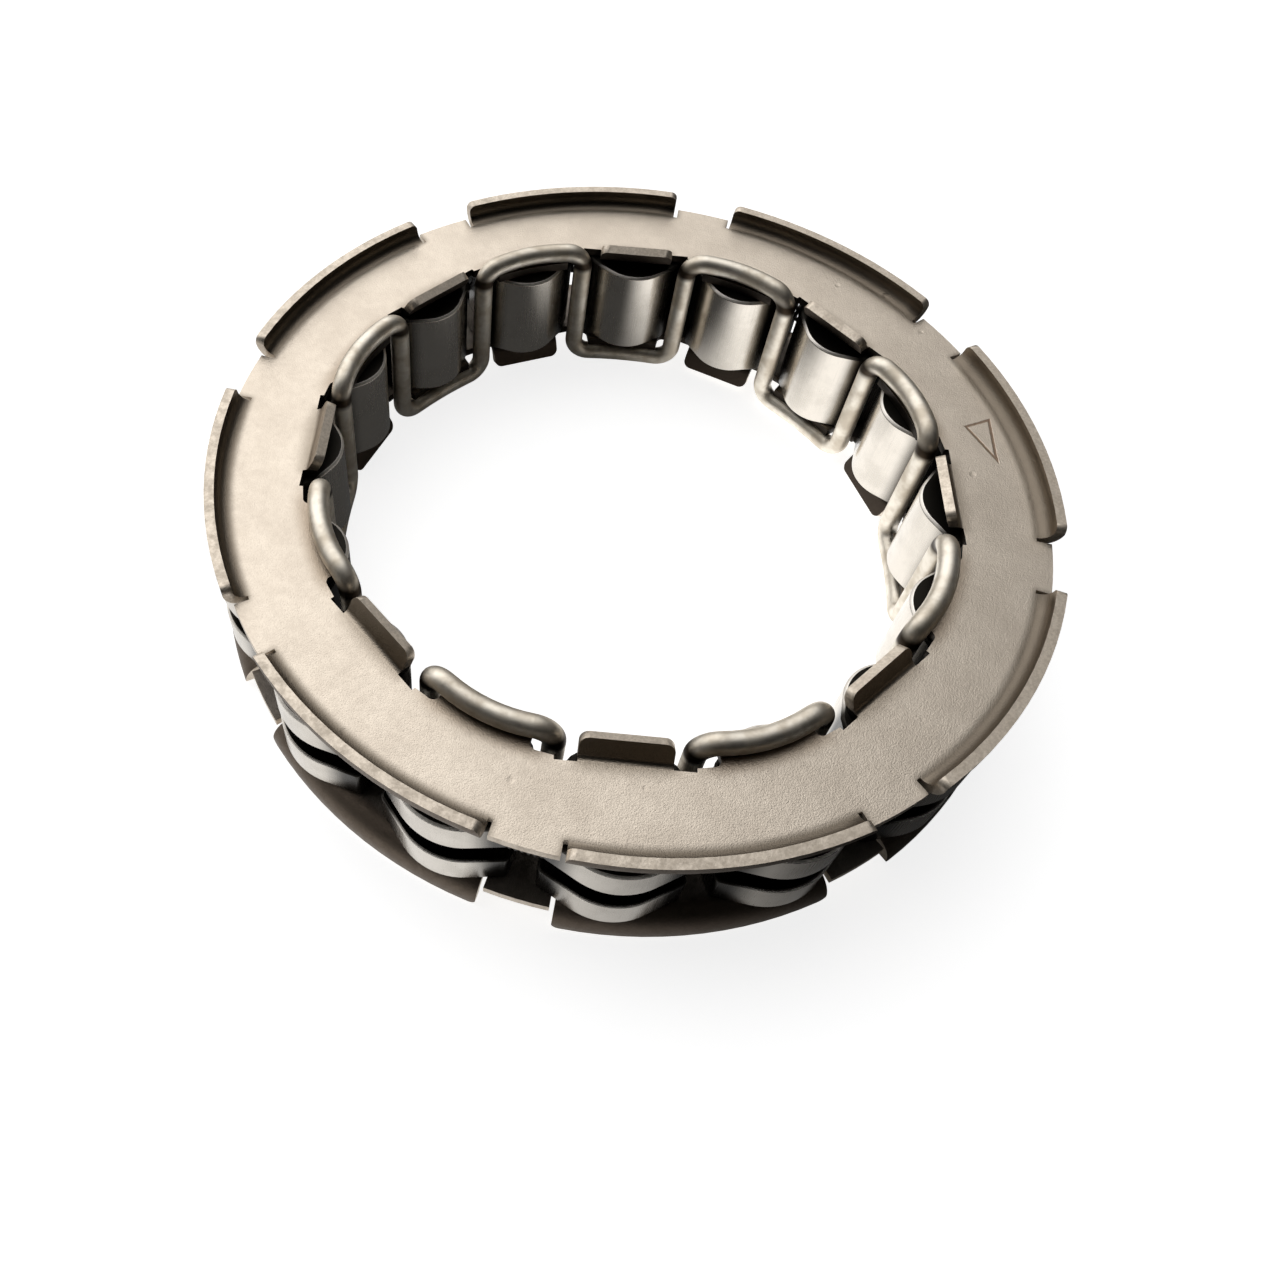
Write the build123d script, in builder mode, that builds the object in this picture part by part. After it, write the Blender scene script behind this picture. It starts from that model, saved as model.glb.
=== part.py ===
from build123d import *
import math
import os

# Caged sprag clutch insert. Axis on Z, middle of the width at Z = 0, all lengths in mm.

# Races the insert runs between
outer_race_radius = 33.2
inner_race_radius = 23.3

# Pitch of the sprags and the layout around the axis
sprag_count = 16
tab_count = 8
lip_count = 8
sprag_pitch = 360 / sprag_count
tab_pitch = 360 / tab_count
lip_pitch = 360 / lip_count
lip_phase = sprag_pitch / 2

# Cage wire, one closed round wire that ties the plates together
wire_diameter = 1.65
wire_radius = wire_diameter / 2
wire_race_clearance = 0.3
wire_leg_radius = inner_race_radius + wire_race_clearance + wire_radius
wire_inner_bend = 0.73
wire_corner = wire_radius + wire_inner_bend
wire_seat_gap = 0.02
upper_bow_angle = 16
lower_bow_angle = 5

# Cage plates, bent from one sheet
sheet = 0.75
cage_width = 10.5
lip_race_clearance = 0.1
lip_radius = outer_race_radius - lip_race_clearance
plate_edge_setback = 0.6
plate_edge_radius = lip_radius - plate_edge_setback
rim_overlap = 0.22
rim_radius = wire_leg_radius - rim_overlap
lip_rise = 1.45
lip_inner_bend = 1.0
lip_half_angle = 17.65
lip_corner = 0.6
lip_relief = 0.35

# Relief notches that the wire's legs pass through
notch_leg_clearance = 0.55
notch_floor_radius = wire_leg_radius + wire_radius + notch_leg_clearance
notch_side_clearance = 0.75
notch_width = wire_diameter + 2 * notch_side_clearance
notch_length = 2 * (notch_floor_radius - rim_radius)
notch_corner = 0.5
notch_angle = 11

# Tabs bent up at the bore of each plate, between two notches
tab_half_width = 3.2
tab_line_setback = 0.15
tab_bend_line = notch_floor_radius - tab_line_setback
tab_inner_bend = 0.5
tab_bend_angle = 63
tab_rise = 1.5
tab_corner = 0.7

# Sprags
sprag_end_clearance = 0.1
sprag_nose_drop = 0.1
sprag_outer_radius = lip_radius - sprag_nose_drop
sprag_toe_reach = 0.28
sprag_inner_radius = inner_race_radius - sprag_toe_reach
outer_cam = 5.2
outer_cam_half_angle = 30
inner_cam = 3.4
inner_cam_half_angle = 35
head_half_width = 5.1
hip_half_width = 4.7
hip_reach = 3.3
foot_half_width = 3.6
head_corner = 0.5
hip_corner = 0.4
foot_corner = 0.4
end_chamfer = 0.2

# Garter spring and its groove round the sprags
spring_wire_envelope = 1.8
spring_floor_gap = 1.2
groove_side_clearance = 0.3
groove_width = spring_wire_envelope + 2 * groove_side_clearance
groove_depth = 5.1
groove_floor_radius = sprag_outer_radius - groove_depth
spring_pitch_radius = groove_floor_radius + spring_floor_gap + spring_wire_envelope / 2
groove_edge_chamfer = 0.15

# Worked out from the sizes above
plate_top = cage_width / 2
plate_underside = plate_top - sheet
lip_bend_line = lip_radius - sheet - lip_inner_bend
sprag_length = 2 * (plate_underside - sprag_end_clearance)
wire_bar_height = plate_top + wire_radius + wire_seat_gap


def radial_plane(angle):
    """Plane through the axis at the angle: local X runs outward and local Y up."""
    a = math.radians(angle)
    return Plane(origin=(0, 0, 0), x_dir=(math.cos(a), math.sin(a), 0), z_dir=(math.sin(a), -math.cos(a), 0))


def polar(radius, angle, height):
    """Point at a radius, an angle in degrees and a height."""
    a = math.radians(angle)
    return Vector(radius * math.cos(a), radius * math.sin(a), height)


os.makedirs("parts", exist_ok=True)

# Upper cage plate: flat ring, then eight race lips, then eight tabs at the bore
with BuildPart() as upper_cage_plate:
    with BuildSketch(Plane.XY.offset(plate_underside)):
        Circle(lip_bend_line)
        # Flat ring edge between two lips
        relief_angle = math.degrees(lip_relief / lip_radius)
        tongue_half_angle = lip_pitch / 2 - lip_half_angle - relief_angle
        for index in range(lip_count):
            middle = lip_phase + (index + 0.5) * lip_pitch
            with BuildLine():
                edge = CenterArc((0, 0), plate_edge_radius, middle - tongue_half_angle, 2 * tongue_half_angle)
                Line(edge @ 1, (0, 0))
                Line((0, 0), edge @ 0)
            make_face()
        Circle(rim_radius, mode=Mode.SUBTRACT)
        for side in (-1, 1):
            with PolarLocations(notch_floor_radius - notch_length / 2, tab_count, start_angle=side * notch_angle):
                RectangleRounded(notch_length, notch_width, notch_corner, mode=Mode.SUBTRACT)
        with PolarLocations(tab_bend_line - notch_length / 2, tab_count):
            Rectangle(notch_length, 2 * tab_half_width + notch_width, mode=Mode.SUBTRACT)
    extrude(amount=sheet)

    # Lips turned up at the outer edge
    for index in range(lip_count):
        with BuildSketch(radial_plane(lip_phase + index * lip_pitch - lip_half_angle)):
            bend_center = (lip_bend_line, plate_top + lip_inner_bend)
            with BuildLine():
                inside = CenterArc(bend_center, lip_inner_bend, 270, 90)
                outside = CenterArc(bend_center, lip_inner_bend + sheet, 270, 90)
                Line(inside @ 0, outside @ 0)
                Polyline(
                    inside @ 1,
                    (lip_radius - sheet, plate_top + lip_rise),
                    (lip_radius, plate_top + lip_rise),
                    outside @ 1,
                )
            make_face()
        revolve(axis=Axis.Z, revolution_arc=2 * lip_half_angle)
    lip_tops = upper_cage_plate.edges().filter_by(GeomType.LINE)
    fillet(lip_tops.filter_by_position(Axis.Z, plate_top + lip_rise - 0.01, plate_top + lip_rise + 0.01), lip_corner)

    # Tabs turned up and inward at the bore
    for index in range(tab_count):
        with BuildSketch(radial_plane(index * tab_pitch)):
            bend_center = (tab_bend_line, plate_top + tab_inner_bend)
            lean = math.radians(tab_bend_angle)
            with BuildLine():
                inside = CenterArc(bend_center, tab_inner_bend, 270, -tab_bend_angle)
                outside = CenterArc(bend_center, tab_inner_bend + sheet, 270, -tab_bend_angle)
                bend_rise = tab_inner_bend * (1 - math.cos(lean))
                reach = (tab_rise - bend_rise) / math.sin(lean)
                step = Vector(-reach * math.cos(lean), reach * math.sin(lean))
                Line(inside @ 0, outside @ 0)
                Polyline(inside @ 1, inside @ 1 + step, outside @ 1 + step, outside @ 1)
            make_face()
        extrude(amount=tab_half_width, both=True)
    tips = upper_cage_plate.edges().filter_by(GeomType.LINE)
    tips = tips.filter_by_position(Axis.Z, plate_top + tab_rise / 2, plate_top + tab_rise - 0.01)
    tips = tips.filter_by(lambda edge: abs(edge.length - sheet) < 0.01 and edge.center().length < tab_bend_line)
    fillet(tips, tab_corner)
upper_cage_plate.part.label = "upper_cage_plate"
export_step(upper_cage_plate.part, "parts/upper_cage_plate.step")

# Lower cage plate: the same pressing turned over, so its tabs fall between the upper ones
with BuildPart() as lower_cage_plate:
    turn_axis = Axis((0, 0, 0), polar(1, sprag_pitch / 2, 0))
    add(upper_cage_plate.part.rotate(turn_axis, 180))
lower_cage_plate.part.label = "lower_cage_plate"
export_step(lower_cage_plate.part, "parts/lower_cage_plate.step")


def wire_loop(middle, side, bow_angle):
    """Points along half of two legs and the bar between them, over (side 1) or under (side -1) one sprag."""
    bow = math.radians(bow_angle)
    first_leg = polar(wire_leg_radius, middle - sprag_pitch / 2, 0)
    last_leg = polar(wire_leg_radius, middle + sprag_pitch / 2, 0)
    along = (last_leg - first_leg).normalized()
    outward = polar(1, middle, 0)
    leaving = along * math.cos(bow) + outward * math.sin(bow)
    arriving = along * math.cos(bow) - outward * math.sin(bow)
    up = Vector(0, 0, side)
    leg_end = up * (wire_bar_height - wire_corner)
    bar_start = first_leg + leaving * wire_corner + up * wire_bar_height
    bar_end = last_leg - arriving * wire_corner + up * wire_bar_height
    rise = (bar_end - bar_start).length / 2 * math.tan(bow / 2)
    bar_middle = (bar_start + bar_end) * 0.5 + outward * rise
    # Point half way round each corner
    swing = wire_corner * math.sqrt(0.5)
    first_turn = first_leg + leaving * (wire_corner - swing) + leg_end + up * swing
    last_turn = last_leg - arriving * (wire_corner - swing) + leg_end + up * swing
    return (
        first_leg,
        first_leg + leg_end,
        first_turn,
        bar_start,
        bar_middle,
        bar_end,
        last_turn,
        last_leg + leg_end,
        last_leg,
    )


# Cage wire: over the upper plate at every second sprag, under the lower plate at the others
with BuildPart() as cage_wire:
    for index in range(sprag_count):
        over = index % 2 == 1
        side = 1 if over else -1
        points = wire_loop(index * sprag_pitch, side, upper_bow_angle if over else lower_bow_angle)
        with BuildLine() as run:
            Line(points[0], points[1])
            ThreePointArc(points[1], points[2], points[3])
            ThreePointArc(points[3], points[4], points[5])
            ThreePointArc(points[5], points[6], points[7])
            Line(points[7], points[8])
        with BuildSketch(Plane(origin=points[0], z_dir=(0, 0, side))):
            Circle(wire_radius)
        sweep()
cage_wire.part.label = "cage_wire"
export_step(cage_wire.part, "parts/cage_wire.step")

# Garter spring: the closed coil spring, as the ring its coils fill
with BuildPart() as garter_spring:
    with BuildSketch(Plane.XZ):
        with Locations((spring_pitch_radius, 0)):
            Circle(spring_wire_envelope / 2)
    revolve(axis=Axis.Z)
garter_spring.part.label = "garter_spring"
export_step(garter_spring.part, "parts/garter_spring.step")

# One sprag on the +X axis: outer cam, shoulders, flanks, hips and inner cam
with BuildPart() as sprag_blank:
    with BuildSketch():
        outer_end = math.radians(outer_cam_half_angle)
        inner_end = math.radians(inner_cam_half_angle)
        outer_center = sprag_outer_radius - outer_cam
        inner_center = sprag_inner_radius + inner_cam
        head_drop = (head_half_width - outer_cam * math.sin(outer_end)) * math.tan(outer_end)
        foot_drop = (foot_half_width - inner_cam * math.sin(inner_end)) * math.tan(inner_end)
        head_x = outer_center + outer_cam * math.cos(outer_end) - head_drop
        foot_x = inner_center - inner_cam * math.cos(inner_end) + foot_drop
        hip_x = sprag_inner_radius + hip_reach
        with BuildLine():
            nose = CenterArc((outer_center, 0), outer_cam, -outer_cam_half_angle, 2 * outer_cam_half_angle)
            toe = CenterArc((inner_center, 0), inner_cam, 180 - inner_cam_half_angle, 2 * inner_cam_half_angle)
            for start, end, side in ((nose @ 1, toe @ 0, 1), (nose @ 0, toe @ 1, -1)):
                head = (head_x, side * head_half_width)
                hip = (hip_x, side * hip_half_width)
                foot = (foot_x, side * foot_half_width)
                Polyline(start, head, hip, foot, end)
        blank_face = make_face()
        head_points = blank_face.vertices().filter_by_position(Axis.X, head_x - 0.01, head_x + 0.01)
        foot_points = blank_face.vertices().filter_by_position(Axis.X, foot_x - 0.01, foot_x + 0.01)
        hip_points = blank_face.vertices().filter_by_position(Axis.X, hip_x - 0.01, hip_x + 0.01)
        fillet(head_points, head_corner)
        fillet(hip_points, hip_corner)
        fillet(foot_points, foot_corner)
    extrude(amount=sprag_length / 2, both=True)
    end_edges = sprag_blank.edges().group_by(Axis.Z)
    chamfer(end_edges[0] + end_edges[-1], end_chamfer)
    # Groove for the garter spring across the outer side
    with BuildSketch(Plane.XZ):
        with Locations((groove_floor_radius, 0)):
            Rectangle(sprag_outer_radius, groove_width, align=(Align.MIN, Align.CENTER))
    extrude(amount=2 * head_half_width, both=True, mode=Mode.SUBTRACT)
    ledges = sprag_blank.edges().filter_by(lambda edge: abs(abs(edge.center().Z) - groove_width / 2) < 0.01)
    chamfer(ledges.filter_by(lambda edge: edge.center().X > groove_floor_radius + 0.01), groove_edge_chamfer)

# The sprags, all alike, one at each pitch
for index in range(sprag_count):
    with BuildPart() as sprag:
        add(sprag_blank.part.rotate(Axis.Z, index * sprag_pitch))
    sprag.part.label = f"sprag_{index + 1:02d}"
    export_step(sprag.part, f"parts/sprag_{index + 1:02d}.step")
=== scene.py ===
"""Look model of a caged sprag clutch insert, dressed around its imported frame."""

import logging
import math
from dataclasses import dataclass, replace
from enum import Enum
from typing import Any, Iterable, Sequence, Union

import bmesh
import bpy
from mathutils import Matrix, Vector


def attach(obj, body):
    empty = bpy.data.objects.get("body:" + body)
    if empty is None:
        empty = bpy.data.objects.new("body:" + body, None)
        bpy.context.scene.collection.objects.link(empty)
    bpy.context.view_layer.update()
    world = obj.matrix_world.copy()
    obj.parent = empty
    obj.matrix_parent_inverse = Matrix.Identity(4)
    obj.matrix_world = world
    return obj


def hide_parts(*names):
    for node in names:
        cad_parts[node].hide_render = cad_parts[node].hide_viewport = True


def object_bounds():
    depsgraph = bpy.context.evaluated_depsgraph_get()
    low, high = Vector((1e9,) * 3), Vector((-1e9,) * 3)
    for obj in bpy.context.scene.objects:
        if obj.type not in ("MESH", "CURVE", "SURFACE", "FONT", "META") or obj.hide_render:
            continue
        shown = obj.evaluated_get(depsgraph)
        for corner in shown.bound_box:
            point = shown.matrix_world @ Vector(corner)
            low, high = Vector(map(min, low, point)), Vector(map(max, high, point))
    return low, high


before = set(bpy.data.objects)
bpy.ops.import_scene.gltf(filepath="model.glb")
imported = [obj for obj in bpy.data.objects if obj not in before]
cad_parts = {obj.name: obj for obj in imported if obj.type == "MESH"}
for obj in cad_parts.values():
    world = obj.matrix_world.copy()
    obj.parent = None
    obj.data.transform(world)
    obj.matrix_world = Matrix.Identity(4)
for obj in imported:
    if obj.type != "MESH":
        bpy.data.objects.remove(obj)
cad_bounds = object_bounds()

MM = 0.001
HALF_WAVE = 180.0
log = logging.getLogger("sprag_clutch")

Colour = tuple[float, float, float]
Range = tuple[float, float]
Socket = bpy.types.NodeSocket
Input = Union[Socket, float, Sequence[float]]


class Slot(Enum):
    """Names of material slots in the record; nothing in this script uses them."""

    SHEET = "cage_sheet"
    SPRING = "spring"
    SPRAG = "sprag"


class Side(Enum):
    """Side of the middle plane that a cage plate lies on."""

    UPPER = 1
    LOWER = -1


# ---------------------------------------------------------------- shader work


class Bench:
    """Adds the shader nodes of one material and links them."""

    def __init__(self, name: str) -> None:
        """Starts an empty material.

        Args:
            name: Name of the material.
        """
        self.material = bpy.data.materials.new(name)
        self.material.use_nodes = True
        self.tree = self.material.node_tree
        self.tree.nodes.clear()

    def node(self, kind: str, inputs: dict[Any, Input] | None = None,
             **settings: Any) -> bpy.types.Node:
        """Adds a node, links the sockets given and sets the plain values.

        Args:
            kind: Node type without its ShaderNode prefix.
            inputs: Sockets or values, by input name or number.
            **settings: Properties of the node.

        Returns:
            The new node.
        """
        made = self.tree.nodes.new("ShaderNode" + kind)
        for key, value in settings.items():
            setattr(made, key, value)
        for key, value in (inputs or {}).items():
            if isinstance(value, Socket):
                self.tree.links.new(value, made.inputs[key])
            else:
                made.inputs[key].default_value = value
        return made

    def position(self) -> Socket:
        """Returns the place on the piece in millimetres."""
        spot = self.node("TexCoord").outputs["Object"]
        return self.stretched(spot, (1 / MM, 1 / MM, 1 / MM))

    def stretched(self, position: Socket, scale: Sequence[float]) -> Socket:
        """Returns the position stretched differently along each axis."""
        return self.node("Mapping", {"Vector": position, "Scale": scale}).outputs["Vector"]

    def height(self, position: Socket) -> Socket:
        """Returns the height along the clutch axis."""
        return self.node("SeparateXYZ", {0: position}).outputs["Z"]

    def radius(self, position: Socket) -> Socket:
        """Returns the distance from the clutch axis in millimetres."""
        flat = self.stretched(position, (1.0, 1.0, 0.0))
        return self.node("VectorMath", {0: flat}, operation="LENGTH").outputs["Value"]

    def along(self, position: Socket, way: Sequence[float]) -> Socket:
        """Returns how far the position lies along a direction of length one."""
        inputs = {0: position, 1: way}
        return self.node("VectorMath", inputs, operation="DOT_PRODUCT").outputs["Value"]

    def around(self, position: Socket, turn: float, crests: int = 8) -> Socket:
        """Returns a wave round the clutch axis.

        Args:
            position: Place on the piece.
            turn: Degrees of the wave that its crests are turned back by.
            crests: Crests round the ring.

        Returns:
            Socket from -1 to 1.
        """
        split = self.node("SeparateXYZ", {0: position})
        angle = self.maths("ARCTAN2", split.outputs["Y"], split.outputs["X"])
        angle = self.maths("MULTIPLY", angle, crests)
        return self.maths("COSINE", self.maths("ADD", angle, math.radians(turn)))

    def noise(self, position: Socket, scale: float, detail: float = 3.0,
              roughness: float = 0.55) -> Socket:
        """Returns a noise pattern around 0.5.

        Args:
            position: Place on the piece.
            scale: Grains per millimetre.
            detail: Octaves of finer noise.
            roughness: Weight of the finer octaves.

        Returns:
            The pattern's socket.
        """
        inputs = {"Vector": position, "Scale": scale, "Detail": detail, "Roughness": roughness}
        return self.node("TexNoise", inputs).outputs["Fac"]

    def ranged(self, value: Socket, low: float, high: float,
               to_low: float = 0.0, to_high: float = 1.0) -> Socket:
        """Returns the value carried smoothly from one range to another.

        Args:
            value: Socket to carry over.
            low: Value that gives to_low.
            high: Value that gives to_high.
            to_low: Result at low.
            to_high: Result at high.

        Returns:
            The result's socket.
        """
        inputs = {"Value": value, "From Min": low, "From Max": high,
                  "To Min": to_low, "To Max": to_high}
        return self.node("MapRange", inputs, interpolation_type="SMOOTHSTEP").outputs["Result"]

    def maths(self, operation: str, first: Input, second: Input = 0.0) -> Socket:
        """Returns the result of a Math node on two values."""
        return self.node("Math", {0: first, 1: second}, operation=operation).outputs[0]

    def both(self, first: Socket, second: Socket) -> Socket:
        """Returns the product of two masks, which is 1 where both are."""
        return self.maths("MULTIPLY", first, second)

    def opposite(self, mask: Socket) -> Socket:
        """Returns 1 where the mask is 0, and 0 where it is 1."""
        return self.maths("SUBTRACT", 1.0, mask)

    def mean(self, first: Socket, second: Socket) -> Socket:
        """Returns the mean of two patterns."""
        return self.maths("MULTIPLY", self.maths("ADD", first, second), 0.5)

    def blend(self, factor: Socket, first: Input, second: Input) -> Socket:
        """Mixes two colours.

        Args:
            factor: Share of the second colour.
            first: Colour socket, or the red, green and blue of a colour.
            second: The same, for the other colour.

        Returns:
            The mixed colour's socket.
        """
        made = self.node("Mix", {"Factor": factor}, data_type="RGBA")
        for key, value in (("A", first), ("B", second)):
            socket = next(s for s in made.inputs if s.name == key and s.type == "RGBA")
            if isinstance(value, Socket):
                self.tree.links.new(value, socket)
            else:
                socket.default_value = (*value, 1.0)
        return next(s for s in made.outputs if s.type == "RGBA")

    def bump(self, height: Socket, depth: float, normal: Socket | None = None) -> Socket:
        """Turns a pattern into relief.

        Args:
            height: Pattern from 0 to 1.
            depth: Height of the relief in millimetres.
            normal: Normal that the relief is added to.

        Returns:
            The new normal's socket.
        """
        inputs: dict[Any, Input] = {"Height": height, "Strength": 1.0, "Distance": depth * MM}
        if normal is not None:
            inputs["Normal"] = normal
        return self.node("Bump", inputs).outputs["Normal"]

    def finish(self, colour: Socket, roughness: Socket, normal: Socket) -> bpy.types.Material:
        """Ends the material in a metal shader.

        Args:
            colour: Colour of the metal.
            roughness: Roughness of the metal.
            normal: Surface normal with its relief.

        Returns:
            The material.
        """
        inputs = {"Base Color": colour, "Metallic": 1.0, "Roughness": roughness, "Normal": normal}
        shader = self.node("BsdfPrincipled", inputs)
        self.node("OutputMaterial", {"Surface": shader.outputs["BSDF"]})
        return self.material


class RoomBench(Bench):
    """Adds the shader nodes of the room's light and links them."""

    def __init__(self, name: str) -> None:
        """Starts an empty room.

        Args:
            name: Name of the room.
        """
        world = bpy.data.worlds.new(name)
        world.use_nodes = True
        bpy.context.scene.world = world
        self.tree = world.node_tree
        self.tree.nodes.clear()


@dataclass(frozen=True)
class EtchedArrow:
    """Outlined triangle etched on the upper plate, showing the way that the insert turns freely.

    Its corners are pairs of a radius and an angle in degrees. Lengths are in millimetres.
    """

    corners: tuple[tuple[float, float], ...] = ((28.45, 15.2), (29.70, 8.0), (30.65, 15.9))
    line: float = 0.17
    line_core: float = 0.35
    wobble: float = 0.10
    wobble_scale: float = 3.0
    face_height: float = 5.0
    colour: Colour = (0.22, 0.14, 0.09)
    strength: float = 0.85
    depth: float = 0.015

    def mask(self, bench: Bench, position: Socket) -> Socket:
        """Draws the outline.

        Args:
            bench: Material that the arrow belongs to.
            position: Place on the piece in millimetres.

        Returns:
            Socket that is 1 on the etched line and 0 beside it.
        """
        shaken = bench.noise(position, self.wobble_scale, detail=2.0)
        shaken = bench.maths("MULTIPLY", bench.maths("SUBTRACT", shaken, 0.5), self.wobble)
        turned = [(radius, math.radians(angle)) for radius, angle in self.corners]
        places = [Vector((radius * math.cos(turn), radius * math.sin(turn), 0))
                  for radius, turn in turned]
        middle = sum(places, Vector()) / len(places)
        farthest: Socket | None = None
        for here, there in zip(places, places[1:] + places[:1]):
            out = (there - here).cross(Vector((0, 0, 1))).normalized()
            out = out if out.dot(here - middle) > 0 else -out
            beyond = bench.maths("SUBTRACT", bench.along(position, out), out.dot(here))
            farthest = beyond if farthest is None else bench.maths("MAXIMUM", farthest, beyond)
        from_line = bench.maths("ABSOLUTE", bench.maths("ADD", farthest, shaken))
        line = bench.ranged(from_line, self.line * self.line_core, self.line, 1.0, 0.0)
        above = bench.maths("GREATER_THAN", bench.height(position), self.face_height)
        return bench.both(line, above)


@dataclass(frozen=True)
class SheetFinish:
    """Tumbled steel sheet: matt fine grain, faint mottling and a few nicks.

    Radii and depths are in millimetres, and scales are in grains per millimetre. A sector is a
    range of the wave round the clutch axis.
    """

    name: str = "tumbled_sheet"
    bright: Colour = (0.66, 0.58, 0.485)
    dull: Colour = (0.575, 0.50, 0.415)
    roughness: Range = (0.29, 0.36)
    roughness_from: Range = (0.38, 0.62)
    mottle_scale: float = 0.30
    mottle_from: Range = (0.30, 0.72)
    grain_scale: float = 9.0
    grain_from: Range = (0.50, 0.68)
    grain_share: float = 0.7
    grain_depth: float = 0.028
    speck_scale: float = 1.7
    speck_depth: float = 0.010
    nick_scale: float = 0.30
    nick_from: Range = (0.03, 0.10)
    nick_depth: float = 0.02
    # Painted shade: a darker colour for every lip's bend.
    lip_shade: Colour = (0.165, 0.137, 0.106)
    lip_radii: Range = (30.85, 31.6)
    lip_turn: float = -90.0
    lip_sector: Range = (-0.90, -0.78)
    # Painted shade: a darker colour for every tab and the start of its bend.
    tab_shade: Colour = (0.30, 0.25, 0.195)
    tab_radii: Range = (25.1, 26.9)
    tab_turn: float = 0.0
    tab_sector: Range = (0.34, 0.56)
    # Painted shadow: a brown band on the sheet beside each of the wire's bars.
    bar_shade: Colour = (0.38, 0.31, 0.24)
    bar_shade_radii: Range = (25.7, 27.0)
    bar_shade_sector: Range = (-0.3, 0.6)
    arrow: EtchedArrow | None = None

    def lips(self, bench: Bench, position: Socket, colour: Socket) -> Socket:
        """Paints shade on every lip alike, darkening its bend.

        Args:
            bench: Material of the sheet.
            position: Place on the piece in millimetres.
            colour: Colour of the flat ring.

        Returns:
            Colour with painted shade on the lips.
        """
        sector = bench.ranged(bench.around(position, self.lip_turn), *self.lip_sector)
        outside = bench.ranged(bench.radius(position), *self.lip_radii)
        return bench.blend(bench.both(outside, sector), colour, self.lip_shade)

    def tabs(self, bench: Bench, position: Socket, colour: Socket) -> Socket:
        """Paints shade on every tab alike, and on the start of its bend.

        Args:
            bench: Material of the sheet.
            position: Place on the piece in millimetres.
            colour: Colour of the flat ring.

        Returns:
            Colour with painted shade on the tabs.
        """
        sector = bench.ranged(bench.around(position, self.tab_turn), *self.tab_sector)
        inside = bench.ranged(bench.radius(position), *self.tab_radii, 1.0, 0.0)
        return bench.blend(bench.both(sector, inside), colour, self.tab_shade)

    def paint_bar_shade(self, bench: Bench, position: Socket, colour: Socket) -> Socket:
        """Paints a brown shadow on the sheet beside each of the wire's bars.

        Args:
            bench: Material of the sheet.
            position: Place on the piece in millimetres.
            colour: Colour of the sheet.

        Returns:
            Colour with the painted shadow.
        """
        at_bars = bench.around(position, self.tab_turn + HALF_WAVE)
        sector = bench.ranged(at_bars, *self.bar_shade_sector)
        inside = bench.ranged(bench.radius(position), *self.bar_shade_radii, 1.0, 0.0)
        return bench.blend(bench.both(inside, sector), colour, self.bar_shade)

    def make(self) -> bpy.types.Material:
        """Makes the material.

        Returns:
            The finished material.
        """
        bench = Bench(self.name)
        position = bench.position()
        grain = bench.noise(position, self.grain_scale, detail=4.0, roughness=0.62)
        mottle = bench.noise(position, self.mottle_scale, detail=4.0, roughness=0.65)
        speck = bench.noise(position, self.speck_scale, detail=2.0, roughness=0.5)
        cells = bench.node("TexVoronoi", {"Vector": position, "Scale": self.nick_scale})
        colour = bench.blend(bench.ranged(mottle, *self.mottle_from), self.bright, self.dull)
        grained = bench.ranged(grain, *self.grain_from, 0.0, self.grain_share)
        colour = bench.blend(grained, colour, self.dull)
        # Painted shade on every lip and tab, and a painted shadow beside each bar.
        colour = self.paint_bar_shade(bench, position, self.lips(bench, position, colour))
        colour = self.tabs(bench, position, colour)
        mixed = bench.mean(grain, speck)
        roughness = bench.ranged(mixed, *self.roughness_from, *self.roughness)
        normal = bench.bump(speck, self.speck_depth)
        nicks = bench.ranged(cells.outputs["Distance"], *self.nick_from)
        normal = bench.bump(nicks, self.nick_depth, normal)
        normal = bench.bump(grain, self.grain_depth, normal)
        if self.arrow:
            mark = self.arrow.mask(bench, position)
            share = bench.maths("MULTIPLY", mark, self.arrow.strength)
            colour = bench.blend(share, colour, self.arrow.colour)
            normal = bench.bump(bench.opposite(mark), self.arrow.depth, normal)
        return bench.finish(colour, roughness, normal)


@dataclass(frozen=True)
class ShearedFinish:
    """Sheared edge of the sheet: a granular break, with painted shade round the bore of the flat
    ring.

    Radii, heights and depths are in millimetres, and scales are in grains per millimetre.
    """

    name: str = "sheared_edge"
    bright: Colour = (0.68, 0.60, 0.505)
    dark: Colour = (0.56, 0.49, 0.405)
    # Painted shade for the sheared edge round the bore.
    bore_shade: Colour = (0.035, 0.028, 0.022)
    bore_radii: Range = (26.5, 27.0)
    bore_heights: Range = (5.2, 5.4)
    roughness: Range = (0.42, 0.58)
    roughness_from: Range = (0.35, 0.65)
    coarse_scale: float = 1.4
    coarse_depth: float = 0.02
    grain_scale: float = 5.0
    grain_from: Range = (0.40, 0.62)
    grain_depth: float = 0.016

    def make(self) -> bpy.types.Material:
        """Makes the material.

        Returns:
            The finished material.
        """
        bench = Bench(self.name)
        position = bench.position()
        grain = bench.noise(position, self.grain_scale, detail=4.0, roughness=0.65)
        coarse = bench.noise(position, self.coarse_scale, detail=2.0, roughness=0.5)
        colour = bench.blend(bench.ranged(grain, *self.grain_from), self.dark, self.bright)
        height = bench.maths("ABSOLUTE", bench.height(position))
        low = bench.ranged(height, *self.bore_heights, 1.0, 0.0)
        inside = bench.ranged(bench.radius(position), *self.bore_radii, 1.0, 0.0)
        # Painted shade on the sheared edge round the bore.
        colour = bench.blend(bench.both(inside, low), colour, self.bore_shade)
        roughness = bench.ranged(coarse, *self.roughness_from, *self.roughness)
        normal = bench.bump(coarse, self.coarse_depth)
        normal = bench.bump(grain, self.grain_depth, normal)
        return bench.finish(colour, roughness, normal)


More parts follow.
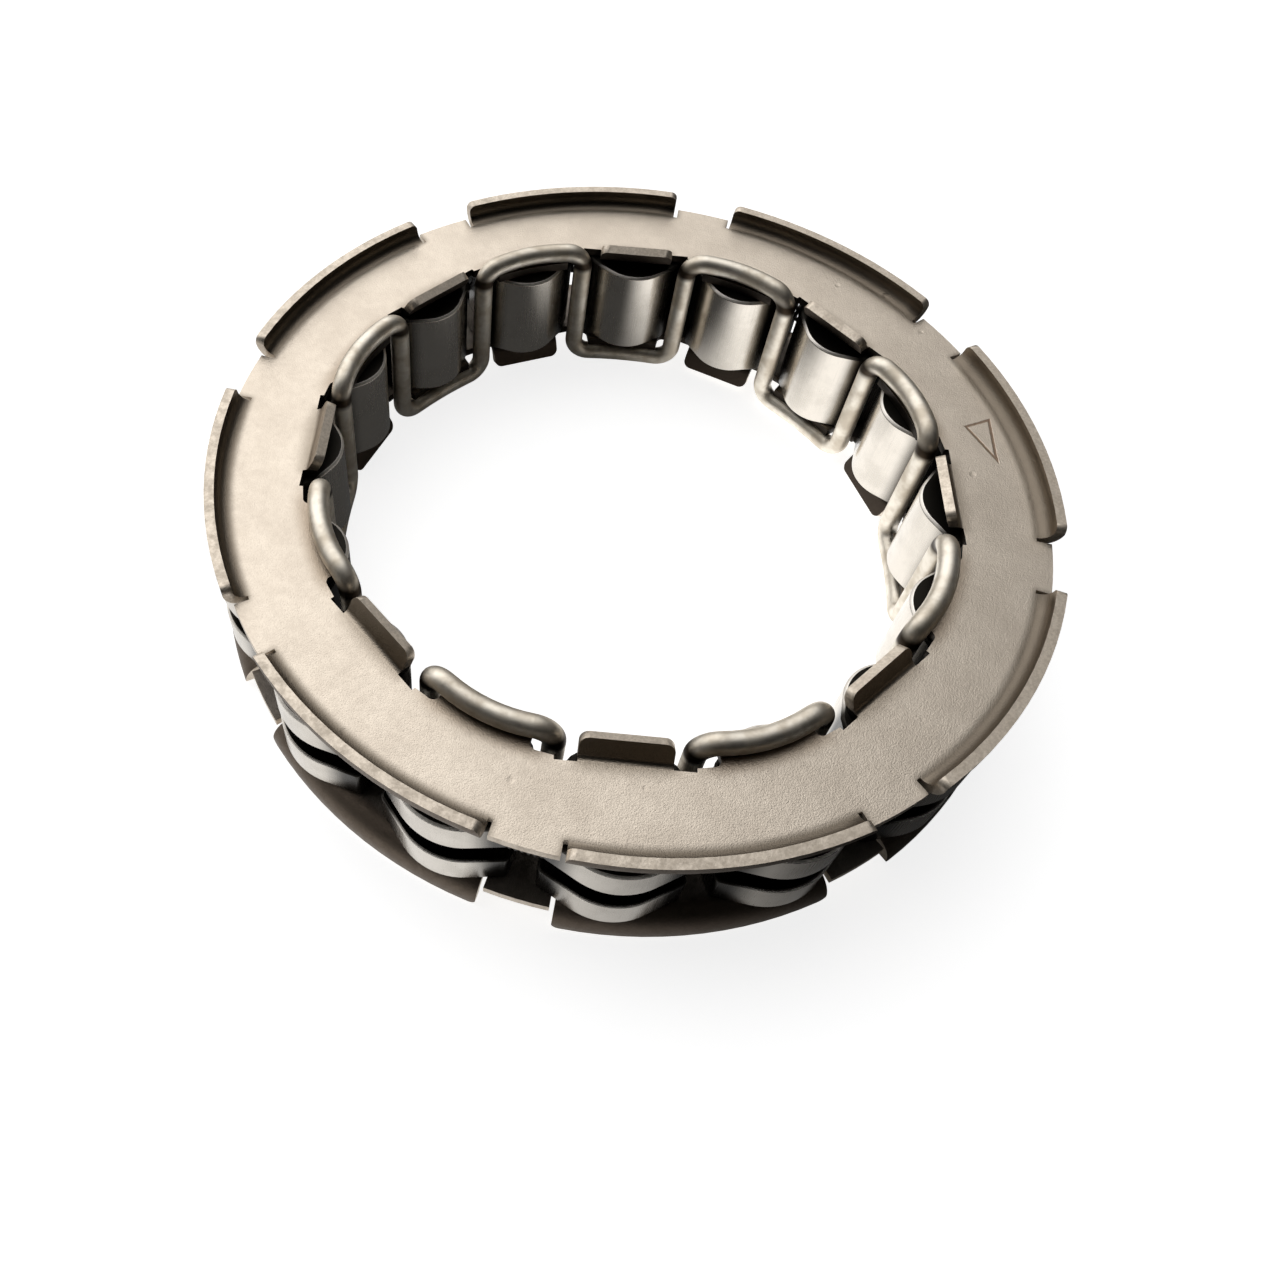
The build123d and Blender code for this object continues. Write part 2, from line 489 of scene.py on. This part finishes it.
@dataclass(frozen=True)
class DrawnFinish:
    """Drawn or ground steel: fine lines over a smooth, faintly clouded ground.

    Radii, heights and depths are in millimetres, and scales are in grains per millimetre. The
    lines have a scale for each axis.
    """

    name: str = "spring_steel"
    bright: Colour = (0.16, 0.15, 0.14)
    dull: Colour = (0.09, 0.085, 0.08)
    roughness: Range = (0.28, 0.42)
    roughness_from: Range = (0.36, 0.64)
    lines: tuple[float, float, float] = (3.0, 3.0, 3.0)
    line_from: Range = (0.50, 0.70)
    line_share: float = 0.30
    line_depth: float = 0.003
    cloud_scale: float = 0.35
    cloud_from: Range = (0.36, 0.66)
    fine_scale: float = 6.0
    fine_depth: float = 0.002

    def marked(self, bench: Bench, position: Socket, colour: Socket,
               roughness: Socket) -> tuple[Socket, Socket]:
        """Adds what is particular to one piece, which here is nothing.

        Args:
            bench: Material of the piece.
            position: Place on the piece in millimetres.
            colour: Colour of the clean steel.
            roughness: Roughness of the clean steel.

        Returns:
            The colour and the roughness with the marks.
        """
        return colour, roughness

    def make(self) -> bpy.types.Material:
        """Makes the material.

        Returns:
            The finished material.
        """
        bench = Bench(self.name)
        position = bench.position()
        drawn = bench.noise(bench.stretched(position, self.lines), scale=1.0, roughness=0.6)
        cloud = bench.noise(position, self.cloud_scale, roughness=0.6)
        fine = bench.noise(position, self.fine_scale, detail=2.0, roughness=0.5)
        colour = bench.blend(bench.ranged(cloud, *self.cloud_from), self.bright, self.dull)
        lined = bench.ranged(drawn, *self.line_from, 0.0, self.line_share)
        colour = bench.blend(lined, colour, self.dull)
        mixed = bench.mean(drawn, cloud)
        roughness = bench.ranged(mixed, *self.roughness_from, *self.roughness)
        colour, roughness = self.marked(bench, position, colour, roughness)
        normal = bench.bump(drawn, self.line_depth)
        normal = bench.bump(fine, self.fine_depth, normal)
        return bench.finish(colour, roughness, normal)


@dataclass(frozen=True)
class WireFinish(DrawnFinish):
    """Bright cage wire with painted shade under its upper bars."""

    name: str = "bright_wire"
    bright: Colour = (0.82, 0.76, 0.66)
    dull: Colour = (0.61, 0.54, 0.44)
    roughness: Range = (0.42, 0.56)
    lines: tuple[float, float, float] = (1.2, 1.2, 1.2)
    line_depth: float = 0.006
    cloud_scale: float = 0.45
    # Painted shade on the wire below the middle of its upper bars.
    bar_shade: Colour = (0.05, 0.036, 0.024)
    bar_shade_bottom: Range = (4.2, 4.9)
    bar_shade_top: Range = (5.30, 6.0)

    def marked(self, bench: Bench, position: Socket, colour: Socket,
               roughness: Socket) -> tuple[Socket, Socket]:
        """Adds the grease under the upper bars.

        Args:
            bench: Material of the wire.
            position: Place on the wire in millimetres.
            colour: Colour of the clean wire.
            roughness: Roughness of the clean wire.

        Returns:
            The colour and the roughness with the painted shade.
        """
        height = bench.height(position)
        under = bench.both(bench.ranged(height, *self.bar_shade_top, 1.0, 0.0),
                           bench.ranged(height, *self.bar_shade_bottom))
        # Painted shade under the upper bars.
        return bench.blend(under, colour, self.bar_shade), roughness


@dataclass(frozen=True)
class SpragFinish(DrawnFinish):
    """Ground sprag: satin cams, a painted highlight on the chamfers, and painted shade on the
    ends, flanks and spring groove.

    Heights are from the middle plane, and a rim is the bevel beside the spring groove.
    """

    name: str = "ground_sprag"
    bright: Colour = (0.68, 0.63, 0.56)
    dull: Colour = (0.60, 0.555, 0.49)
    roughness: Range = (0.21, 0.29)
    lines: tuple[float, float, float] = (7.0, 7.0, 0.25)
    line_depth: float = 0.004
    # Painted shade on the flanks between the cams.
    flank_shade: Colour = (0.03, 0.027, 0.023)
    toe_radii: Range = (23.9, 25.0)
    head_radii: Range = (31.6, 32.5)
    outer_side: Range = (26.5, 27.5)
    # Painted highlight on the end chamfers and on the rims beside the spring groove.
    chamfer_highlight: Colour = (0.92, 0.87, 0.80)
    chamfer_roughness: float = 0.25
    end_chamfer: Range = (4.18, 4.24)
    rim_bottom: Range = (1.22, 1.25)
    rim_top: Range = (1.34, 1.38)
    # Painted shade on the end faces and in the spring groove.
    end_and_groove_shade: Colour = (0.02, 0.018, 0.015)
    end_face: Range = (4.385, 4.395)
    groove_wall: Range = (1.20, 1.22)

    def marked(self, bench: Bench, position: Socket, colour: Socket,
               roughness: Socket) -> tuple[Socket, Socket]:
        """Paints highlights on the chamfers, and paints shade on the flanks, ends and groove.

        Args:
            bench: Material of the sprags.
            position: Place on the sprag in millimetres.
            colour: Colour of the ground cams.
            roughness: Roughness of the ground cams.

        Returns:
            The colour and the roughness of the whole sprag.
        """
        radius = bench.radius(position)
        height = bench.maths("ABSOLUTE", bench.height(position))
        outside = bench.ranged(radius, *self.outer_side)
        rims = bench.both(bench.ranged(height, *self.rim_bottom),
                          bench.ranged(height, *self.rim_top, 1.0, 0.0))
        edge = bench.ranged(height, *self.end_chamfer)
        edge = bench.maths("MAXIMUM", edge, bench.both(rims, outside))
        # Painted highlight on the chamfers.
        colour = bench.blend(edge, colour, self.chamfer_highlight)
        rougher = bench.maths("MULTIPLY", edge, self.chamfer_roughness)
        roughness = bench.maths("ADD", roughness, rougher)
        # Painted shade on the flanks between the cams.
        between_cams = bench.both(bench.ranged(radius, *self.toe_radii),
                                  bench.ranged(radius, *self.head_radii, 1.0, 0.0))
        colour = bench.blend(between_cams, colour, self.flank_shade)
        # Painted shade on the end faces and in the spring groove.
        colour = bench.blend(bench.ranged(height, *self.end_face), colour, self.end_and_groove_shade)
        groove = bench.both(bench.ranged(height, *self.groove_wall, 1.0, 0.0), outside)
        return bench.blend(groove, colour, self.end_and_groove_shade), roughness


# ---------------------------------------------------------------- mesh work


MERGE_DISTANCE = 1e-3 * MM
FLAT_TURN = 0.4
WEIGHT_OF_LARGE_FACES = 80


def merged_copy(node: str) -> bmesh.types.BMesh:
    """Copies a frame node's solid with its triangles joined and its flat faces whole.

    Args:
        node: Name of the frame node.

    Returns:
        The new mesh under work.
    """
    work = bmesh.new()
    work.from_mesh(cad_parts[node].data)
    bmesh.ops.remove_doubles(work, verts=work.verts, dist=MERGE_DISTANCE)
    bmesh.ops.dissolve_limit(
        work, angle_limit=math.radians(FLAT_TURN), verts=work.verts, edges=work.edges,
    )
    return work


def round_edges(work: bmesh.types.BMesh, width: float, angle: float) -> None:
    """Rounds the sharp edges with two faces across the rounding.

    Args:
        work: Mesh under work.
        width: Width of the rounding in millimetres.
        angle: Least turn of an edge that is rounded, in degrees.
    """
    limit = math.radians(angle)
    sharp = [edge for edge in work.edges if edge.is_manifold and edge.calc_face_angle() > limit]
    bmesh.ops.bevel(
        work, geom=sharp, offset=width * MM, offset_type="OFFSET", segments=2, profile=0.5,
        affect="EDGES", clamp_overlap=True, material=-1, loop_slide=True,
    )


def as_piece(work: bmesh.types.BMesh, name: str, smooth_angle: float) -> bpy.types.Object:
    """Turns a finished mesh into an object at the origin.

    Args:
        work: Mesh under work, which is freed.
        name: Name of the piece.
        smooth_angle: Greatest turn in degrees that is shaded smooth.

    Returns:
        The new object.
    """
    mesh = bpy.data.meshes.new(name)
    for face in work.faces:
        face.smooth = True
    work.to_mesh(mesh)
    work.free()
    mesh.set_sharp_from_angle(angle=math.radians(smooth_angle))
    piece = bpy.data.objects.new(name, mesh)
    bpy.context.scene.collection.objects.link(piece)
    keep = piece.modifiers.new("flat_faces_stay_flat", "WEIGHTED_NORMAL")
    keep.keep_sharp = True
    keep.weight = WEIGHT_OF_LARGE_FACES
    return piece


def stand_for(piece: bpy.types.Object, node: str, body: str) -> None:
    """Lets a piece stand for a frame node.

    Args:
        piece: The look piece.
        node: Frame node that it replaces.
        body: Body that it moves with.
    """
    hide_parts(node)
    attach(piece, body)
    log.info("%s stands for %s, %d faces", piece.name, node, len(piece.data.polygons))


# ---------------------------------------------------------------- sub-assemblies


@dataclass
class CagePlate:
    """One pressed cage plate with its lips, tabs and sheared edges. Lengths in millimetres."""

    node: str
    side: Side
    edge_round: float = 0.11
    skin_turn: float = 30.0
    smooth_turn: float = 35.0
    flat_enough: float = 0.999

    def skin(self, work: bmesh.types.BMesh, way: int) -> set[bmesh.types.BMFace]:
        """Finds one face of the sheet, round its bends and out to its sheared edges.

        Args:
            work: Mesh of the plate.
            way: 1 for the face that looks up, -1 for the one that looks down.

        Returns:
            The faces of that skin.
        """
        found: set[bmesh.types.BMFace] = set()
        flats = [face for face in work.faces if face.normal.z * way > self.flat_enough]
        open_faces = [max(flats, key=lambda face: face.calc_area())]
        while open_faces:
            face = open_faces.pop()
            if face in found:
                continue
            found.add(face)
            for edge in face.edges:
                if edge.calc_face_angle(math.pi) < math.radians(self.skin_turn):
                    open_faces.extend(edge.link_faces)
        return found

    def build(self) -> bpy.types.Object:
        """Rounds the plate's edges and sorts its faces onto its three finishes.

        Returns:
            The plate.
        """
        work = merged_copy(self.node)
        outer_face = self.skin(work, self.side.value)
        inner_face = self.skin(work, -self.side.value)
        for face in work.faces:
            face.material_index = 0 if face in outer_face else 1 if face in inner_face else 2
        round_edges(work, self.edge_round, self.skin_turn)
        return as_piece(work, self.node + "_pressing", self.smooth_turn)

    def dress(self, piece: bpy.types.Object, finishes: Sequence[bpy.types.Material]) -> None:
        """Gives the plate its finishes and its place in the frame.

        Args:
            piece: The plate.
            finishes: Those of its outer face, its inner face and its sheared edges.
        """
        for finish in finishes:
            piece.data.materials.append(finish)
        stand_for(piece, self.node, "cage")


@dataclass
class CageWire:
    """The closed wire that ties the plates together."""

    node: str = "cage_wire"
    finish: WireFinish = WireFinish()

    def dress(self) -> None:
        """Gives the wire its finish."""
        steel = self.finish.make()
        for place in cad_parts[self.node].material_slots:
            place.material = steel
        log.info("%s dressed", self.node)


@dataclass
class GarterSpring:
    """Closed coil spring round the sprags. Lengths in millimetres."""

    node: str = "garter_spring"
    pitch_radius: float = 30.0
    coil_radius: float = 0.70
    wire_radius: float = 0.175
    turns: int = 420
    steps: int = 12
    wire_sides: int = 6
    turn_gap: float = 0.012
    smooth_turn: float = 60.0
    finish: DrawnFinish = DrawnFinish()

    def build(self) -> bpy.types.Object:
        """Winds one turn of wire and sets it round the ring until the spring closes.

        Returns:
            The spring as one closed coil.
        """
        work = bmesh.new()
        pitch = 2 * math.pi * self.pitch_radius / self.turns
        stand = Matrix.Translation((self.pitch_radius * MM, 0, self.coil_radius * MM))
        stand = stand @ Matrix.Rotation(math.radians(90), 4, "Y")
        section = bmesh.ops.create_circle(
            work, segments=self.wire_sides, radius=self.wire_radius * MM, matrix=stand,
        )
        edges = list({edge for vert in section["verts"] for edge in vert.link_edges})
        bmesh.ops.spin(
            work, geom=edges + section["verts"], cent=(self.pitch_radius * MM, 0, 0),
            axis=(0, 1, 0), dvec=(0, pitch * MM / self.steps, 0), angle=2 * math.pi,
            steps=self.steps, use_merge=False,
        )
        one_turn = list(work.verts) + list(work.edges) + list(work.faces)
        for turn in range(1, self.turns):
            made = bmesh.ops.duplicate(work, geom=one_turn)["geom"]
            swing = Matrix.Rotation(2 * math.pi * turn / self.turns, 3, "Z")
            verts = [item for item in made if isinstance(item, bmesh.types.BMVert)]
            bmesh.ops.rotate(work, verts=verts, cent=(0, 0, 0), matrix=swing)
        bmesh.ops.remove_doubles(work, verts=work.verts, dist=self.turn_gap * MM)
        bmesh.ops.recalc_face_normals(work, faces=work.faces)
        return as_piece(work, "garter_spring_coil", self.smooth_turn)

    def dress(self, piece: bpy.types.Object) -> None:
        """Gives the spring its finish and its place in the frame."""
        piece.data.materials.append(self.finish.make())
        stand_for(piece, self.node, "cage")


@dataclass
class SpragSet:
    """The sixteen sprags, each on its own body. Lengths in millimetres."""

    count: int = 16
    edge_round: float = 0.05
    edge_turn: float = 25.0
    smooth_turn: float = 30.0
    finish: SpragFinish = SpragFinish()

    def build(self) -> list[tuple[str, bpy.types.Object]]:
        """Rounds the edges of every sprag.

        Returns:
            Each sprag's node name with its piece.
        """
        made = []
        for number in range(1, self.count + 1):
            node = f"sprag_{number:02d}"
            work = merged_copy(node)
            round_edges(work, self.edge_round, self.edge_turn)
            made.append((node, as_piece(work, node + "_ground", self.smooth_turn)))
        return made

    def dress(self, pieces: Iterable[tuple[str, bpy.types.Object]]) -> None:
        """Gives the sprags their finish and their places in the frame.

        Args:
            pieces: Each sprag's node name with its piece.
        """
        steel = self.finish.make()
        for node, piece in pieces:
            piece.data.materials.append(steel)
            stand_for(piece, node, node + "_body")


# ---------------------------------------------------------------- studio


@dataclass(frozen=True)
class ViewCamera:
    """Camera close above the front of the insert."""

    place: tuple[float, float, float] = (-0.008352, -0.059382, 0.076348)
    azimuth: float = 2.45
    elevation: float = 53.99
    roll: float = 3.14
    lens: float = 32.76
    sensor: float = 36.0
    shift: tuple[float, float] = (0.1171, -0.0827)
    clip: tuple[float, float] = (0.005, 10.0)

    def set_up(self) -> None:
        """Makes the scene's camera."""
        camera = bpy.data.objects.new("camera", bpy.data.cameras.new("camera"))
        bpy.context.scene.collection.objects.link(camera)
        turn = Matrix.Rotation(math.radians(self.azimuth), 4, "Z")
        tilt = Matrix.Rotation(math.radians(90 - self.elevation), 4, "X")
        roll = Matrix.Rotation(math.radians(self.roll), 4, "Z")
        camera.matrix_world = Matrix.Translation(self.place) @ turn @ tilt @ roll
        camera.data.lens = self.lens
        camera.data.sensor_width = self.sensor
        camera.data.shift_x, camera.data.shift_y = self.shift
        camera.data.clip_start, camera.data.clip_end = self.clip
        bpy.context.scene.camera = camera


@dataclass(frozen=True)
class Studio:
    """Pale floor, one large soft dome of light and a room that is dark in front.

    A dark card and a graded sheet on the floor are seen only in the metal's reflections. Lengths
    are in metres, apart from those of the graded sheet's pattern, which are in millimetres.
    """

    floor_size: float = 6.0
    floor_colour: Colour = (0.62, 0.62, 0.62)
    floor_glow: float = 0.82
    dome_centre: tuple[float, float, float] = (-0.46, 0.50, 0.73)
    dome_edge: Range = (0.40, 1.0)
    dome_level: float = 2.22
    room_level: float = 0.05
    front_edge: Range = (-0.30, 0.30)
    front_share: float = 0.10
    horizon_level: float = 0.8
    horizon_heights: Range = (0.02, 0.14)
    horizon_way: tuple[float, float, float] = (-0.9, 0.436, 0.0)
    horizon_edge: Range = (-0.3, 0.7)
    horizon_share: float = 0.05
    card_colour: Colour = (0.02, 0.02, 0.02)
    card_size: tuple[float, float] = (0.40, 0.16)
    card_front: float = -0.062
    card_lift: float = 0.0005
    sheet_size: float = 0.6
    sheet_lift: float = 0.00005
    bore_radii: Range = (27.0, 31.0)
    bore_way: tuple[float, float, float] = (0.98, -0.2, 0.0)
    bore_edge: Range = (-7.0, 13.0)
    bore_levels: Range = (0.06, 1.45)
    outer_way: tuple[float, float, float] = (-1.0, 0.0, 0.0)
    outer_edge: Range = (-24.0, 20.0)
    outer_levels: Range = (0.03, 1.0)

    def flat_sheet(self, name: str, size: Sequence[float], place: float,
                   lift: float) -> bpy.types.Object:
        """Makes a level sheet under the insert.

        Args:
            name: Name of the sheet.
            size: Its size along X and along Y.
            place: Its middle along Y.
            lift: Its height above the floor.

        Returns:
            The sheet, marked as stage.
        """
        work = bmesh.new()
        bmesh.ops.create_grid(work, x_segments=1, y_segments=1, size=0.5)
        bmesh.ops.scale(work, verts=work.verts, vec=(*size, 1.0))
        bmesh.ops.translate(work, verts=work.verts, vec=(0, place, cad_bounds[0].z + lift))
        mesh = bpy.data.meshes.new(name)
        work.to_mesh(mesh)
        work.free()
        sheet = bpy.data.objects.new(name, mesh)
        bpy.context.scene.collection.objects.link(sheet)
        return sheet

    def only_reflected(self, sheet: bpy.types.Object) -> None:
        """Leaves a sheet to the metal's reflections alone."""
        sheet.visible_camera = sheet.visible_diffuse = sheet.visible_shadow = False

    def lay_floor(self) -> None:
        """Makes the white floor that the insert lies on, which keeps the insert's shadow."""
        floor = self.flat_sheet("floor", (self.floor_size, self.floor_size), 0.0, 0.0)
        bench = Bench("white_floor")
        path = bench.node("LightPath")
        seen = bench.maths("MAXIMUM", path.outputs["Is Camera Ray"], path.outputs["Is Glossy Ray"])
        seen = bench.maths("MAXIMUM", seen, path.outputs["Is Transmission Ray"])
        glow = bench.maths("MULTIPLY", seen, self.floor_glow)
        paint = bench.node("BsdfDiffuse", {"Color": (*self.floor_colour, 1.0)}).outputs[0]
        light = bench.node("Emission", {"Color": (1, 1, 1, 1), "Strength": glow}).outputs[0]
        both = bench.node("AddShader", {0: paint, 1: light}).outputs[0]
        bench.node("OutputMaterial", {"Surface": both})
        floor.data.materials.append(bench.material)

    def lay_card(self) -> None:
        """Lays a dark card in front, which deepens the metal's reflections."""
        place = self.card_front - self.card_size[1] / 2
        card = self.flat_sheet("dark_card", self.card_size, place, self.card_lift)
        bench = Bench("black_card")
        paint = bench.node("BsdfDiffuse", {"Color": (*self.card_colour, 1.0)}).outputs[0]
        bench.node("OutputMaterial", {"Surface": paint})
        card.data.materials.append(bench.material)
        self.only_reflected(card)

    def lay_graded_sheet(self) -> None:
        """Lays a sheet that only the metal's reflections show.

        Inside the bore it is bright to the right, and round the insert it is bright to the left.
        """
        size = (self.sheet_size, self.sheet_size)
        sheet = self.flat_sheet("graded_sheet", size, 0.0, self.sheet_lift)
        bench = Bench("graded_sheet")
        position = bench.position()
        bore = bench.along(position, self.bore_way)
        bore = bench.ranged(bore, *self.bore_edge, *self.bore_levels)
        outer = bench.along(position, self.outer_way)
        outer = bench.ranged(outer, *self.outer_edge, *self.outer_levels)
        inside = bench.ranged(bench.radius(position), *self.bore_radii, 1.0, 0.0)
        outer = bench.both(outer, bench.opposite(inside))
        level = bench.maths("ADD", bench.both(bore, inside), outer)
        light = bench.node("Emission", {"Color": (1, 1, 1, 1), "Strength": level}).outputs[0]
        bench.node("OutputMaterial", {"Surface": light})
        sheet.data.materials.append(bench.material)
        self.only_reflected(sheet)

    def light_room(self) -> None:
        """Lights the room: a soft dome behind to the left, a pale horizon and a dark front."""
        bench = RoomBench("studio_room")
        way = bench.node("TexCoord").outputs["Generated"]
        towards = bench.along(way, Vector(self.dome_centre).normalized())
        dome = bench.ranged(towards, *self.dome_edge, self.room_level, self.dome_level)
        back = bench.along(way, (0.0, 1.0, 0.0))
        dome = bench.both(dome, bench.ranged(back, *self.front_edge, self.front_share, 1.0))
        horizon = bench.ranged(bench.height(way), *self.horizon_heights, self.horizon_level, 0.0)
        side = bench.along(way, self.horizon_way)
        side = bench.ranged(side, *self.horizon_edge, self.horizon_share, 1.0)
        level = bench.maths("MAXIMUM", dome, bench.both(side, horizon))
        glow = bench.node("Background", {"Strength": level}).outputs[0]
        bench.node("OutputWorld", {"Surface": glow})

    def set_up(self) -> None:
        """Lays the floor and lights the room."""
        self.lay_floor()
        self.lay_card()
        self.lay_graded_sheet()
        self.light_room()
        bpy.context.scene.view_settings.view_transform = "Standard"


def main() -> None:
    """Builds the look model around the frame."""
    logging.basicConfig(level=logging.INFO, format="%(message)s")
    ViewCamera().set_up()
    Studio().set_up()
    upper_outer = SheetFinish(name="tumbled_sheet_marked", arrow=EtchedArrow())
    lower_outer = SheetFinish(tab_turn=HALF_WAVE)
    # Painted shade: a dark colour on the plates' faces toward the sprags and lips' outer sides.
    upper_shaded_inner = SheetFinish(
        name="shaded_inner_face", bright=(0.25, 0.22, 0.19), dull=(0.19, 0.165, 0.14),
        lip_shade=(0.155, 0.123, 0.095), tab_shade=(0.08, 0.062, 0.048), roughness=(0.46, 0.56),
    )
    lower_shaded_inner = replace(upper_shaded_inner, name="shaded_lower_face", tab_turn=HALF_WAVE)
    sheared = ShearedFinish().make()
    upper = CagePlate("upper_cage_plate", Side.UPPER)
    upper.dress(upper.build(), (upper_outer.make(), upper_shaded_inner.make(), sheared))
    lower = CagePlate("lower_cage_plate", Side.LOWER)
    lower.dress(lower.build(), (lower_outer.make(), lower_shaded_inner.make(), sheared))
    CageWire().dress()
    spring = GarterSpring()
    spring.dress(spring.build())
    sprags = SpragSet()
    sprags.dress(sprags.build())


if __name__ == "__main__":
    main()
